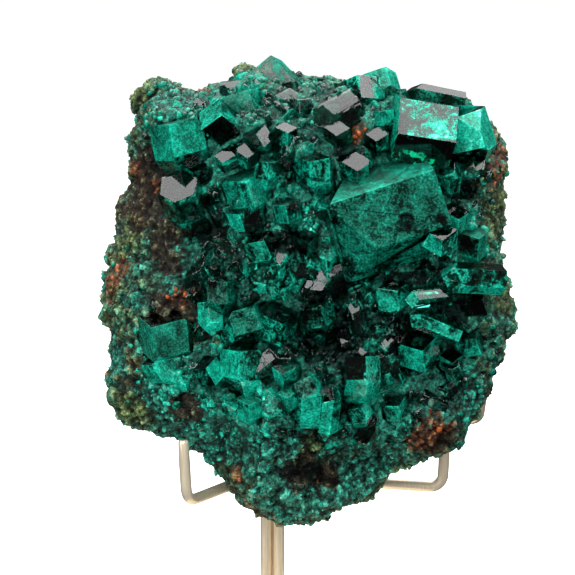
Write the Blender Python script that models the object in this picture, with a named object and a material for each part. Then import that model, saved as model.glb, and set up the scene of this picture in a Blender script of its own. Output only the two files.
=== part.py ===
# Dioptase specimen: stubby green crystals grown on a crusted gossan rock, held upright by a three-rod stand.
#
# Metres, +Z up. The origin is the centre of the underside of the stand's round base, on the table.
# The crystals face -Y. The sizes below are in millimetres and MM turns them into metres.

import math
import random
from typing import NamedTuple

import bmesh
import bpy
from mathutils import Matrix, Vector, noise
from mathutils.bvhtree import BVHTree

MM = 0.001

# Driving sizes of the stone. Its middle plane is the upright plane that holds its outline.
STONE_CENTRE = Vector((7.4, -12.0, 70.0))
FRONT_BULGE = 15.0
BACK_BULGE = 20.0
FOOT_BULGE = 4.0
FOOT_TOP = -12.0
FOOT_BOTTOM = -40.0
FRONT_SQUARENESS = 2.6
BACK_SQUARENESS = 3.2
GRID_CUTS = 15

# The fine crust stands out this far past the solid rock, so the outline is drawn in by it.
CRUST_ROOM = 1.5

# The rock's outline, anticlockwise from its right side: across and up from the stone's centre.
OUTLINE = (
    (36.5, -5.0), (35.4, 2.2), (33.8, 5.8), (35.1, 9.4), (34.5, 16.6), (35.3, 20.2), (35.3, 23.8),
    (33.0, 27.4), (30.9, 29.5), (29.0, 31.1), (19.8, 32.8), (16.4, 34.4), (9.0, 35.0), (3.0, 36.0),
    (-3.0, 37.5), (-8.5, 38.5), (-13.5, 36.8), (-18.5, 35.0), (-22.5, 34.0), (-29.4, 34.6),
    (-31.5, 32.8), (-31.2, 29.2), (-33.0, 25.6), (-34.4, 18.4), (-35.3, 11.2), (-37.1, 4.0),
    (-39.1, -5.0), (-37.2, -12.2), (-38.0, -17.6), (-36.7, -23.0), (-33.0, -26.6), (-25.6, -30.2),
    (-21.6, -32.4), (-17.3, -37.4), (-13.0, -41.2), (-7.6, -44.3), (2.3, -45.2), (11.0, -41.4),
    (12.9, -37.1), (22.8, -32.9), (28.2, -27.5), (31.1, -21.2), (36.5, -14.0), (37.2, -10.4),
)

# Hollows in the front: across, up, reach and depth.
HOLLOWS = (
    (5.0, -5.5, 9.0, 6.0),
    (16.5, 23.0, 5.5, 4.0),
    (-27.0, 18.5, 5.5, 4.0),
    (-18.5, 11.0, 3.5, 3.5),
    (-21.5, -7.5, 4.0, 3.0),
    (-20.0, -18.5, 3.5, 3.0),
    (-14.0, -28.5, 4.5, 3.5),
    (0.0, -34.0, 4.5, 6.0),
    (7.5, -32.5, 5.0, 6.5),
    (25.5, 18.5, 4.0, 3.5),
    (23.0, -9.0, 6.0, 3.0),
)

# Swellings of the front, in the same way.
SWELLINGS = (
    (-26.0, -16.0, 9.0, 3.0),
    (-9.0, 30.0, 8.0, 2.0),
    (26.0, 28.0, 7.0, 2.5),
    (1.0, -40.0, 7.0, 3.0),
    (-8.0, -22.0, 8.0, 2.5),
    (22.0, -24.0, 6.0, 2.0),
    (-27.5, 29.5, 5.0, 3.5),
    (-8.0, -36.0, 5.0, 2.5),
)

# Lumps and pits of the whole rock: size of a lump and how far it stands out.
LUMPS = ((11.0, 1.8), (4.6, 1.0))

# The eye that sees the stone as the photograph does, and the size of a pixel at the stone's middle plane.
EYE_DISTANCE = 600.0
EYE_HEIGHT_ANGLE = math.radians(8.0)
EYE_AIM = Vector((-4.6, 0.0, -1.9))
PIXEL_SIZE = 0.18
PICTURE_MIDDLE = 287.5

# A dioptase crystal is a six-sided prism that ends in three rhombic faces at this angle to its base.
RHOMB_ANGLE = math.radians(51.0)
PRISM_SIDES = 6
RHOMB_FACES = 3
UNEVENNESS = 0.12
SOCKET_GAP = 0.3


class Crystal(NamedTuple):
    """Millimetres, but for seen: the pixel of the 575-pixel photograph that the end shows at."""
    name: str
    seen: tuple
    rise: float
    radius: float
    length: float
    way: tuple
    turn: float = 0.0
    broken: float = 0.0


# rise is how far the end stands in front of the rock, way is where it points (across, towards the viewer, up),
# and turn, in degrees, turns it about its own axis from the stance in which one rhomb faces up.
# A broken crystal has lost that much of its point, and its end is flat there.
CRYSTALS = (
    Crystal("top_blade", (271, 52), 2.0, 5.8, 10.0, (-0.10, 0.32, 0.94), 60),
    Crystal("top_sliver", (290, 80), 3.0, 1.4, 5.0, (0.1, 0.5, 0.85)),
    Crystal("top_bead", (300, 98), 4.0, 2.3, 6.0, (0.0, 0.8, 0.6)),
    Crystal("top_spur", (316, 76), 3.0, 2.3, 7.0, (-0.1, 0.4, 0.9), 30),
    Crystal("top_stub", (334, 81), 3.5, 2.4, 7.0, (-0.2, 0.6, 0.75)),
    Crystal("top_slab", (356, 72), 6.5, 4.4, 10.5, (-0.15, 0.5, 0.85), 20),
    Crystal("top_cap", (385, 64), 3.0, 3.6, 9.0, (0.15, 0.35, 0.92)),
    Crystal("top_pair_left", (385, 87), 6.0, 1.9, 6.0, (0.2, 0.85, 0.45)),
    Crystal("top_pair_right", (399, 91), 6.0, 1.7, 6.0, (-0.1, 0.8, 0.5), 20),
    Crystal("top_ridge", (403, 92), 4.0, 2.3, 11.0, (-0.95, 0.1, 0.2)),
    Crystal("long_prism", (391, 127), 1.5, 6.4, 10.5, (-0.97, 0.14, 0.17), 28, 9.0),
    Crystal("right_mass", (471, 119), 4.0, 5.5, 9.5, (0.15, 0.74, 0.65), 20, 2.0),
    Crystal("right_corner", (497, 135), 3.0, 3.2, 7.0, (0.6, 0.6, 0.5)),
    Crystal("dark_stub", (353, 105), 3.5, 2.0, 6.0, (0.2, 0.8, 0.55), 40),
    Crystal("streaked", (381, 110), 5.0, 2.3, 6.5, (-0.3, 0.75, 0.6), 10),
    Crystal("hex_head", (376, 140), 5.0, 2.5, 6.5, (-0.1, 1.0, 0.02)),
    Crystal("twin_diamonds", (336, 134), 4.5, 2.6, 6.5, (-0.15, 1.0, 0.05)),
    Crystal("diamond_head", (357, 170), 5.0, 2.8, 7.0, (0.05, 1.0, 0.0)),
    Crystal("glassy_green", (309, 160), 5.5, 3.9, 9.5, (-0.2, 0.85, 0.45)),
    Crystal("cyan_knot", (270, 162), 5.0, 2.4, 6.0, (0.1, 0.8, 0.55)),
    Crystal("left_head", (222, 114), 7.0, 4.2, 11.0, (0.1, 0.92, 0.35), 60),
    Crystal("left_dome", (248, 88), 4.5, 4.4, 10.0, (0.0, 0.65, 0.75), 20),
    Crystal("small_dark", (288, 132), 3.5, 2.3, 6.0, (0.1, 0.95, 0.2)),
    Crystal("green_window", (256, 132), 4.0, 2.6, 7.0, (-0.2, 0.9, 0.3), 30),
    Crystal("grey_blade", (222, 162), 5.0, 2.2, 7.0, (-0.25, 1.0, -0.05)),
    Crystal("black_wedge", (248, 157), 5.0, 2.3, 6.5, (0.1, 1.0, -0.05)),
    Crystal("broad_front", (246, 180), 4.5, 4.6, 10.0, (-0.1, 0.92, 0.35), 20),
    Crystal("left_block", (168, 124), 5.5, 5.2, 11.0, (-0.30, 0.75, 0.55), 15),
    Crystal("left_round", (193, 171), 4.0, 2.8, 7.0, (-0.2, 0.9, 0.3)),
    Crystal("left_teal", (239, 213), 4.0, 3.3, 7.5, (-0.3, 0.85, 0.35), 20),
    Crystal("left_mid", (190, 223), 3.5, 2.6, 6.5, (-0.2, 0.9, 0.2)),
    Crystal("middle_chunk", (264, 240), 4.0, 3.0, 7.0, (0.1, 0.9, 0.4), 30),
    Crystal("mauve_chip", (309, 243), 4.5, 2.4, 6.5, (0.2, 1.0, 0.0)),
    Crystal("vein_stub", (285, 205), 4.0, 2.6, 7.0, (-0.2, 0.85, 0.45), 15),
    Crystal("left_low_ridge", (226, 281), 4.0, 3.4, 8.0, (0.2, 0.75, 0.6)),
    Crystal("giant_ridge", (330, 234), -0.5, 8.8, 20.0, (-0.94, 0.16, -0.29), 12, 6.0),
    Crystal("under_ridge", (398, 290), 5.0, 3.4, 8.0, (0.1, 0.85, 0.4), 10),
    Crystal("clear_green", (450, 180), 4.0, 1.8, 5.5, (-0.1, 0.85, 0.4)),
    Crystal("thin_green", (469, 180), 3.5, 1.9, 6.0, (0.2, 0.8, 0.55), 30),
    Crystal("mauve_diamond", (460, 219), 4.0, 2.5, 6.5, (0.15, 1.0, 0.1)),
    Crystal("bright_rhomb", (443, 240), 8.5, 3.4, 11.0, (0.1, 1.0, 0.03)),
    Crystal("right_teal", (481, 238), 4.0, 3.6, 9.0, (0.35, 0.85, 0.3)),
    Crystal("right_shelf", (441, 276), 5.5, 3.0, 12.0, (-0.90, 0.40, 0.1), 10),
    Crystal("dark_side", (484, 300), 4.0, 3.2, 8.0, (0.3, 0.88, 0.2), 30),
    Crystal("finger_high", (405, 300), 5.0, 1.7, 11.0, (-0.95, 0.30, -0.05), 30),
    Crystal("finger_low", (410, 316), 5.0, 1.8, 10.0, (-0.85, 0.30, 0.40)),
    Crystal("tall_rhomb", (423, 352), 6.5, 4.0, 10.0, (0.05, 0.95, 0.15), 12),
    Crystal("black_shiny", (478, 340), 3.5, 2.9, 7.0, (0.3, 0.85, 0.3), 30),
    Crystal("ring_head", (454, 365), 4.0, 2.5, 6.5, (0.1, 0.95, 0.0)),
    Crystal("teal_twin", (366, 357), 7.0, 3.7, 10.0, (0.1, 0.65, 0.75)),
    Crystal("hex_low", (376, 386), 5.5, 2.6, 6.5, (0.25, 1.0, -0.05)),
    Crystal("grey_low", (362, 410), 4.0, 2.4, 6.5, (0.0, 0.85, 0.45), 30),
    Crystal("teal_wedge", (310, 377), 6.0, 3.1, 10.0, (0.05, 0.48, 0.88), 30),
    Crystal("brown_column", (332, 388), 5.0, 2.0, 9.0, (0.1, 0.4, 0.9)),
    Crystal("brown_triangle", (282, 377), 4.5, 2.5, 7.0, (-0.2, 1.0, 0.05)),
    Crystal("beige_low", (288, 401), 4.0, 2.5, 6.5, (-0.1, 1.0, 0.05), 10),
    Crystal("pale_corner", (283, 324), 6.5, 4.4, 11.0, (0.25, 0.95, 0.15)),
    Crystal("middle_ridge", (253, 306), 5.0, 3.5, 9.5, (0.30, 0.62, 0.70), 20),
    Crystal("round_core", (321, 307), 5.5, 3.5, 8.0, (0.1, 0.8, 0.55), 20),
    Crystal("grey_square", (326, 335), 4.5, 2.6, 6.5, (0.1, 1.0, 0.0)),
    Crystal("low_left_big", (238, 352), 5.0, 4.4, 10.0, (-0.1, 0.75, 0.6)),
    Crystal("low_left_dark", (205, 370), 4.0, 3.0, 7.0, (-0.2, 0.9, 0.3), 30),
    Crystal("side_dark", (150, 328), 5.0, 5.0, 10.0, (-0.35, 0.85, 0.35)),
    Crystal("side_low", (150, 366), 3.5, 3.4, 8.0, (-0.4, 0.85, 0.25), 30),
    Crystal("foot_left", (248, 408), 3.5, 2.8, 7.0, (-0.1, 0.9, 0.3)),
    Crystal("foot_right", (400, 408), 3.5, 2.6, 7.0, (0.2, 0.9, 0.3), 20),
)

# The stand: rods bent round the stone, brazed side by side into one stem on a plain round base.
ROD_DIAMETER = 2.1
ROD_SPACING = 2.4
ROD_SIDES_DETAIL = 2
ROD_CLEARANCE = 0.35
BEND_RADIUS = 2.6
BEND_STEPS = 5
BASE_RADIUS = 31.0
BASE_THICKNESS = 4.0
BASE_EDGE = 0.7
BASE_SIDES = 56
ARM_HEIGHT = 31.0

ROD_COLOUR = (0.80, 0.74, 0.62)
BASE_COLOUR = (0.78, 0.72, 0.60)
ROCK_COLOUR = (0.10, 0.16, 0.09)
CRYSTAL_COLOUR = (0.0, 0.24, 0.18)


def clear_scene():
    for obj in list(bpy.data.objects):
        bpy.data.objects.remove(obj, do_unlink=True)


def material(name, colour, roughness, metallic):
    made = bpy.data.materials.get(name) or bpy.data.materials.new(name)
    made.use_nodes = True
    shader = made.node_tree.nodes["Principled BSDF"]
    shader.inputs["Base Color"].default_value = (*colour, 1.0)
    shader.inputs["Roughness"].default_value = roughness
    shader.inputs["Metallic"].default_value = metallic
    return made


def object_from(name, bm, finish):
    mesh = bpy.data.meshes.new(name)
    bm.to_mesh(mesh)
    bm.free()
    mesh.transform(Matrix.Scale(MM, 4))
    mesh.materials.append(finish)
    obj = bpy.data.objects.new(name, mesh)
    bpy.context.scene.collection.objects.link(obj)
    return obj


def viewer_eye():
    """The eye's place, in the stone's own millimetres, with the stone's centre at the origin."""
    return EYE_AIM + EYE_DISTANCE * Vector((0, -math.cos(EYE_HEIGHT_ANGLE), math.sin(EYE_HEIGHT_ANGLE)))


def outline_radius(angle):
    """Distance from the stone's centre to its outline in that direction, between the outline's points."""
    corners = sorted((math.atan2(up, across) % math.tau, math.hypot(across, up)) for across, up in OUTLINE)
    angle %= math.tau
    before = [c for c in corners if c[0] <= angle] or [(corners[-1][0] - math.tau, corners[-1][1])]
    after = [c for c in corners if c[0] > angle] or [(corners[0][0] + math.tau, corners[0][1])]
    (low, near), (high, far) = before[-1], after[0]
    share = (angle - low) / (high - low)
    return near + (far - near) * share - CRUST_ROOM


def smooth_share(value, low, high):
    share = min(1.0, max(0.0, (value - low) / (high - low)))
    return share * share * (3 - 2 * share)


def rock_point(direction):
    """A point of a unit sphere taken to the rock's surface."""
    level = math.hypot(direction.x, direction.z)
    angle = math.atan2(direction.z, direction.x)
    front = direction.y < 0
    power = 2 / (FRONT_SQUARENESS if front else BACK_SQUARENESS)
    radius = outline_radius(angle) * level ** power
    across, up = radius * math.cos(angle), radius * math.sin(angle)
    if front:
        depth = -FRONT_BULGE * abs(direction.y) ** power
    else:
        bulge = FOOT_BULGE + (BACK_BULGE - FOOT_BULGE) * smooth_share(up, FOOT_BOTTOM, FOOT_TOP)
        depth = bulge * abs(direction.y) ** power
    if front:
        for place_x, place_z, reach, deep in HOLLOWS:
            depth += deep * math.exp(-((across - place_x) ** 2 + (up - place_z) ** 2) / reach ** 2)
        for place_x, place_z, reach, high in SWELLINGS:
            depth -= high * math.exp(-((across - place_x) ** 2 + (up - place_z) ** 2) / reach ** 2)
    point = Vector((across, depth, up))
    for size, height in LUMPS:
        point += direction * noise.noise(point / size) * height
    return point


def rock_mesh():
    bm = bmesh.new()
    bmesh.ops.create_cube(bm, size=2.0)
    bmesh.ops.subdivide_edges(bm, edges=bm.edges[:], cuts=GRID_CUTS, use_grid_fill=True)
    for vert in bm.verts:
        vert.co = rock_point(vert.co.normalized())
    bmesh.ops.triangulate(bm, faces=bm.faces[:])
    bmesh.ops.recalc_face_normals(bm, faces=bm.faces[:])
    return bm


def cut_off(bm, point, normal):
    """Cuts away what lies beyond the plane and closes the cut with one face."""
    geometry = bm.verts[:] + bm.edges[:] + bm.faces[:]
    cut = bmesh.ops.bisect_plane(bm, geom=geometry, plane_co=point, plane_no=normal, clear_outer=True)
    rim = [item for item in cut["geom_cut"] if isinstance(item, bmesh.types.BMEdge)]
    if rim:
        bmesh.ops.contextual_create(bm, geom=rim)


def crystal_mesh(crystal, grow):
    """A prism from its root at the origin to its end on +Z, each face moved out by grow."""
    chance = random.Random(crystal.name)
    radius = crystal.radius
    point = crystal.length + crystal.broken
    bm = bmesh.new()
    bmesh.ops.create_cube(bm, size=1.0)
    bmesh.ops.scale(bm, vec=(4 * radius, 4 * radius, 2 * point + 4), verts=bm.verts[:])
    cut_off(bm, Vector((0, 0, -grow)), Vector((0, 0, -1)))
    for side in range(PRISM_SIDES):
        angle = math.tau * (side + 0.5) / PRISM_SIDES
        normal = Vector((math.cos(angle), math.sin(angle), 0))
        flat = radius * math.cos(math.pi / PRISM_SIDES) * (1 + chance.uniform(-UNEVENNESS, UNEVENNESS))
        cut_off(bm, normal * (flat + grow), normal)
    for face in range(RHOMB_FACES):
        angle = math.tau * face / RHOMB_FACES
        slope = math.sin(RHOMB_ANGLE)
        normal = Vector((slope * math.cos(angle), slope * math.sin(angle), math.cos(RHOMB_ANGLE)))
        lower = radius * chance.uniform(0, UNEVENNESS)
        cut_off(bm, Vector((0, 0, point - lower)) + normal * grow, normal)
    if crystal.broken:
        cut_off(bm, Vector((0, 0, crystal.length + grow)), Vector((0, 0, 1)))
    bmesh.ops.recalc_face_normals(bm, faces=bm.faces[:])
    return bm


def standing(end, pointing, turn, length):
    """The placing of a crystal whose end and direction are given; with no turn, one rhomb faces up."""
    axis = pointing.normalized()
    upward = Vector((0, 0, 1)) - axis * axis.z
    if upward.length < 0.3:
        upward = Vector((0, -1, 0)) + axis * axis.y
    upward.normalize()
    frame = Matrix((upward, axis.cross(upward), axis)).transposed().to_4x4()
    return Matrix.Translation(end - axis * length) @ frame @ Matrix.Rotation(math.radians(turn), 4, "Z")


def crystal_placing(rock_tree, crystal):
    """Sets the end on the viewer's sight line through its pixel, that far in front of the rock."""
    eye = viewer_eye()
    across, down = (place - PICTURE_MIDDLE for place in crystal.seen)
    seen = EYE_AIM + Vector((across, 0, -down)) * PIXEL_SIZE
    sight = (seen - eye).normalized()
    ground = rock_tree.ray_cast(eye, sight)[0] or seen
    way = Vector((crystal.way[0], -crystal.way[1], crystal.way[2]))
    return standing(ground - sight * crystal.rise, way, crystal.turn, crystal.length)


def joined_groups(bodies):
    """Lists of the names whose bodies cut into each other, directly or through others."""
    trees = {name: BVHTree.FromBMesh(bm) for name, bm in bodies.items()}
    groups = []
    for name in bodies:
        touching = [g for g in groups if any(trees[name].overlap(trees[other]) for other in g)]
        merged = [name] + [other for group in touching for other in group]
        groups = [g for g in groups if g not in touching] + [merged]
    return groups


def boolean(target, other, operation):
    modifier = target.modifiers.new(operation.lower(), "BOOLEAN")
    modifier.operation = operation
    modifier.object = other
    modifier.solver = "EXACT"


def as_helper(obj):
    obj.hide_render = True
    obj.display_type = "WIRE"
    return obj


def crystal_body(crystal, placing, grow):
    bm = crystal_mesh(crystal, grow)
    bm.transform(placing)
    return bm


def make_crystals(rock_tree, finish):
    """An object for each crystal or cluster of crystals grown into each other. Returns the sockets' cutters."""
    crystals = {crystal.name: crystal for crystal in CRYSTALS}
    placing = {name: crystal_placing(rock_tree, crystal) for name, crystal in crystals.items()}
    bodies = {name: crystal_body(crystals[name], placing[name], 0) for name in crystals}
    groups = joined_groups(bodies)
    home = Matrix.Translation(STONE_CENTRE)
    cutters = []
    for group in groups:
        members = sorted(group, key=lambda name: -crystals[name].radius)
        kind = "cluster" if len(members) > 1 else "crystal"
        labels = [f"{kind}_{members[0]}"] + [f"grown_{name}" for name in members[1:]]
        made = []
        for name, label in zip(members, labels):
            bodies[name].transform(home)
            made.append(object_from(label, bodies[name], finish))
            socket = crystal_body(crystals[name], home @ placing[name], SOCKET_GAP)
            cutters.append(as_helper(object_from(f"socket_{name}", socket, finish)))
        for extra in made[1:]:
            boolean(made[0], as_helper(extra), "UNION")
    return cutters


def rounded_path(corners):
    """The corners joined by straight runs, with an arc of BEND_RADIUS in place of each inner corner."""
    path = [Vector(corners[0])]
    for before, corner, after in zip(corners, corners[1:], corners[2:]):
        corner = Vector(corner)
        back, ahead = (Vector(before) - corner).normalized(), (Vector(after) - corner).normalized()
        opening = back.angle(ahead)
        reach = BEND_RADIUS / math.tan(opening / 2)
        centre = corner + (back + ahead).normalized() * (BEND_RADIUS / math.sin(opening / 2))
        start, end = corner + back * reach - centre, corner + ahead * reach - centre
        path += [centre + turned(start, end, step / BEND_STEPS) for step in range(BEND_STEPS + 1)]
    path.append(Vector(corners[-1]))
    return path


def turned(start, end, share):
    """start turned towards end about their common centre, share of the way."""
    angle = start.angle(end)
    return (start * math.sin((1 - share) * angle) + end * math.sin(share * angle)) / math.sin(angle)


def rod(name, corners, finish, grow=0.0):
    curve = bpy.data.curves.new(name, "CURVE")
    curve.dimensions = "3D"
    curve.bevel_depth = (ROD_DIAMETER / 2 + grow) * MM
    curve.bevel_resolution = ROD_SIDES_DETAIL
    curve.use_fill_caps = True
    path = rounded_path(corners)
    spline = curve.splines.new("POLY")
    spline.points.add(len(path) - 1)
    for point, place in zip(spline.points, path):
        point.co = (*(place * MM), 1.0)
    curve.materials.append(finish)
    obj = bpy.data.objects.new(name, curve)
    bpy.context.scene.collection.objects.link(obj)
    return obj


def rod_routes():
    """The corners of each rod, from its foot on the base to its tip."""
    foot = BASE_THICKNESS + 0.3
    half = ROD_SPACING / 2
    behind = ROD_SPACING * math.sin(math.radians(60))
    return {
        "left_rod": ((-half, 0, foot), (-half, 0, ARM_HEIGHT + 1), (-15.2, -24.0, ARM_HEIGHT),
                     (-15.8, -24.0, ARM_HEIGHT + 11.5)),
        "right_rod": ((half, 0, foot), (half, 0, ARM_HEIGHT), (31.4, -6.0, ARM_HEIGHT - 1),
                      (31.8, -6.5, ARM_HEIGHT + 12)),
        "back_rod": ((0, behind, foot), (0, behind, ARM_HEIGHT + 4), (19.0, 12.5, ARM_HEIGHT + 11),
                     (38.4, 3.0, ARM_HEIGHT + 10), (39.0, -3.0, ARM_HEIGHT + 19.4)),
    }


def make_base(finish):
    bpy.ops.mesh.primitive_cylinder_add(
        vertices=BASE_SIDES, radius=BASE_RADIUS * MM, depth=BASE_THICKNESS * MM,
        location=(0, 0, BASE_THICKNESS * MM / 2))
    base = bpy.context.object
    base.name = "stand_base"
    base.data.materials.append(finish)
    edge = base.modifiers.new("edge", "BEVEL")
    edge.width = BASE_EDGE * MM
    edge.segments = 2
    edge.limit_method = "ANGLE"
    base.data.shade_smooth()
    base.data.set_sharp_from_angle(angle=math.radians(30))
    return base


def make_rods(finish):
    """The three rods, and the cutters of the grooves that give them room where they touch the stone."""
    cutters = []
    for name, corners in rod_routes().items():
        rod(name, corners, finish)
        groove = rod(f"wide_{name}", corners, finish, ROD_CLEARANCE)
        mesh = groove.to_mesh().copy()
        cutter = bpy.data.objects.new(f"groove_{name}", mesh)
        bpy.data.objects.remove(groove)
        bpy.context.scene.collection.objects.link(cutter)
        cutters.append(as_helper(cutter))
    return cutters


def main():
    clear_scene()
    rock = rock_mesh()
    tree = BVHTree.FromBMesh(rock)
    rock.transform(Matrix.Translation(STONE_CENTRE))
    stone = object_from("matrix_rock", rock, material("gossan", ROCK_COLOUR, 0.9, 0.0))
    cutters = make_crystals(tree, material("dioptase", CRYSTAL_COLOUR, 0.15, 0.0))
    cutters += make_rods(material("brushed_rod", ROD_COLOUR, 0.35, 1.0))
    make_base(material("brushed_base", BASE_COLOUR, 0.35, 1.0))
    for cutter in cutters:
        boolean(stone, cutter, "DIFFERENCE")


main()
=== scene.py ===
# A dioptase specimen on its rod stand: emerald crystals on a crusted rock, photographed on white.
import math
import bpy
import numpy as np
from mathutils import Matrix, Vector
from mathutils.bvhtree import BVHTree
from mathutils.kdtree import KDTree


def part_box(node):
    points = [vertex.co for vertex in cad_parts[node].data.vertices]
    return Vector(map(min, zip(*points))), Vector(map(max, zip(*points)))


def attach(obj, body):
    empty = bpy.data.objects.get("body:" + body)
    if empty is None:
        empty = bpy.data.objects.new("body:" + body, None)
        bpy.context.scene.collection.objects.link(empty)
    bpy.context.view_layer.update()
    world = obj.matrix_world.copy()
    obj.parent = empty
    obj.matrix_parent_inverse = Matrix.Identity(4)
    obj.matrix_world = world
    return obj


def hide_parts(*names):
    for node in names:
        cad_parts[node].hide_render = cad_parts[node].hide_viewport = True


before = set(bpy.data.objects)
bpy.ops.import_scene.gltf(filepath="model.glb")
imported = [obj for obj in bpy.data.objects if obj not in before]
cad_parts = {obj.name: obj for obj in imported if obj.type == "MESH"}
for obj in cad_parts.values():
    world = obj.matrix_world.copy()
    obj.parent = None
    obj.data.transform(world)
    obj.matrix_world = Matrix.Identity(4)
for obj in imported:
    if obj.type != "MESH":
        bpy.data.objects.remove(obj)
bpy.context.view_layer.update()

mm = 0.001
dice = np.random.default_rng(42)

view = {
    "distance": 600 * mm,  # from the stone's middle plane to the lens
    "height": math.radians(8),  # the lens looks down by this much
    "aim": Vector((2.8, -12.0, 68.1)) * mm,
    "width": math.radians(9.9),  # of the picture
    "pixel": 0.18 * mm,  # what one of its 575 pixels covers at the middle plane
    "middle": 287.5,
}


# The camera, and where a pixel of the picture lands on a surface

def toEye():
    return Vector((0, -math.cos(view["height"]), math.sin(view["height"])))


def eyePlace():
    return view["aim"] + toEye() * view["distance"]


def makeCamera():
    bpy.ops.object.camera_add(location=eyePlace())
    camera = bpy.context.object
    camera.rotation_euler = (-toEye()).to_track_quat("-Z", "Y").to_euler()
    camera.data.sensor_width = 36
    camera.data.angle = view["width"]
    camera.data.clip_start = 0.01
    bpy.context.scene.camera = camera


def landing(tree, across, down):
    target = view["aim"] + Vector((across - view["middle"], 0, view["middle"] - down)) * view["pixel"]
    place = tree.ray_cast(eyePlace(), (target - eyePlace()).normalized())[0]
    return place or target


makeCamera()
print("camera done")


# Helpers for meshes

def makeActive(piece):
    bpy.ops.object.select_all(action="DESELECT")
    piece.select_set(True)
    bpy.context.view_layer.objects.active = piece


def applyModifier(piece, kind, **settings):
    makeActive(piece)
    modifier = piece.modifiers.new(kind.lower(), kind)
    for name, value in settings.items():
        setattr(modifier, name, value)
    bpy.ops.object.modifier_apply(modifier=modifier.name)


def roughen(piece, kind, size, height, group=""):
    texture = bpy.data.textures.new("lumps", kind)
    texture.noise_scale = size
    applyModifier(piece, "DISPLACE", texture=texture, strength=height, mid_level=0.5, texture_coords="LOCAL",
                  vertex_group=group)


def newPiece(name, mesh):
    piece = bpy.data.objects.new(name, mesh)
    bpy.context.scene.collection.objects.link(piece)
    return piece


def editAll():
    bpy.ops.object.mode_set(mode="EDIT")
    bpy.ops.mesh.select_all(action="SELECT")


def mergedCopy(node, name):
    piece = newPiece(name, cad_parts[node].data.copy())
    makeActive(piece)
    editAll()
    bpy.ops.mesh.remove_doubles(threshold=0.00001)
    bpy.ops.object.mode_set(mode="OBJECT")
    return piece


def finishPiece(piece, finish, slot, *nodes):
    piece.data.materials.clear()
    piece.data.materials.append(finish)
    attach(piece, "root")
    if nodes:
        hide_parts(*nodes)


def treeOf(pieces):
    corners, faces = [], []
    for piece in pieces:
        start = len(corners)
        corners += [vertex.co.copy() for vertex in piece.data.vertices]
        faces += [[start + index for index in face.vertices] for face in piece.data.polygons]
    return BVHTree.FromPolygons(corners, faces)


# Shader arithmetic on sockets

class Wire:
    def __init__(self, graph, socket):
        self.graph = graph
        self.socket = socket

    def __add__(self, other):
        return self.graph.maths("ADD", self, other)

    def __sub__(self, other):
        return self.graph.maths("SUBTRACT", self, other)

    def __rsub__(self, other):
        return self.graph.maths("SUBTRACT", other, self)

    def __mul__(self, other):
        return self.graph.maths("MULTIPLY", self, other)


class Graph:
    def __init__(self, name):
        self.material = bpy.data.materials.new(name)
        self.material.use_nodes = True
        self.tree = self.material.node_tree
        self.tree.nodes.clear()
        self.place = self.node("ShaderNodeTexCoord", out="Object")

    def node(self, kind, settings=None, values=None, out=0):
        made = self.tree.nodes.new(kind)
        for name, value in (settings or {}).items():
            if name == "stops":
                self.setStops(made.color_ramp.elements, value)
            else:
                setattr(made, name, value)
        for key, value in (values or {}).items():
            if isinstance(value, Wire):
                self.tree.links.new(value.socket, made.inputs[key])
            else:
                made.inputs[key].default_value = value
        return Wire(self, made.outputs[out])

    def setStops(self, elements, stops):
        while len(elements) < len(stops):
            elements.new(0.5)
        for element, (place, colour) in zip(elements, stops):
            element.position = place
            element.color = colour

    def split(self, wire):
        parted = self.node("ShaderNodeSeparateXYZ", None, {0: wire})
        return [Wire(self, socket) for socket in parted.socket.node.outputs]

    def maths(self, operation, first, second=0.0):
        return self.node("ShaderNodeMath", {"operation": operation}, {0: first, 1: second})

    def noise(self, size, detail=4.0, roughness=0.6, place=None, swirl=0.0):
        values = {"Vector": place or self.place, "Scale": 1 / size, "Detail": detail,
                  "Roughness": roughness, "Distortion": swirl}
        return self.node("ShaderNodeTexNoise", None, values)

    def swing(self, wire, amount):  # a noise about 0.5, made to swing about 0 by this much
        return (wire - 0.5) * (amount * 4)

    def between(self, value, low, high):
        values = {"Value": value, "From Min": low, "From Max": high}
        return self.node("ShaderNodeMapRange", {"interpolation_type": "SMOOTHSTEP"}, values)

    def ramp(self, value, stops):
        return self.node("ShaderNodeValToRGB", {"stops": stops}, {0: value})

    def mix(self, share, first, second):
        return self.node("ShaderNodeMix", {"data_type": "RGBA"}, {0: share, 6: first, 7: second}, 2)

    def spot(self, centre, reach, wobble):  # 1 at the centre, with an uneven edge near the reach
        ends = {0: self.place, 1: centre}
        away = self.node("ShaderNodeVectorMath", {"operation": "DISTANCE"}, ends, 1)
        return 1 - self.between(away + (wobble - 0.5) * (reach * 2.4), reach * 0.75, reach)

    def lines(self, size, thin, swirl):  # thin wandering lines, 1 on a line and 0 beside it
        noise = self.noise(size, 5, 0.6, swirl=swirl)
        return self.between(1 - self.maths("ABSOLUTE", noise * 2 - 1), 1 - thin, 1)

    def bump(self, height, distance):
        return self.node("ShaderNodeBump", None, {"Height": height, "Distance": distance})

    def surface(self, **values):
        return self.node("ShaderNodeBsdfPrincipled", None,
                         {name.replace("_", " "): value for name, value in values.items()})

    def upward(self):  # 1 where a face looks straight up, 0 on a wall
        return self.split(self.node("ShaderNodeNewGeometry", out="Normal"))[2]

    def own(self):  # what a piece stores: its tone, its frost, and a third value that on crystals is painted shade towards the foot, with frosted rims given a painted highlight
        return self.split(self.node("ShaderNodeAttribute", {"attribute_name": "own"}, out="Color"))

    def finish(self, surface, volume=None):
        ends = {"Surface": surface}
        if volume:
            ends["Volume"] = volume
        output = self.tree.nodes.new("ShaderNodeOutputMaterial")
        for name, wire in ends.items():
            self.tree.links.new(wire.socket, output.inputs[name])
        return self.material


# Colours of the stone, each as red, green, blue and alpha

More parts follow.
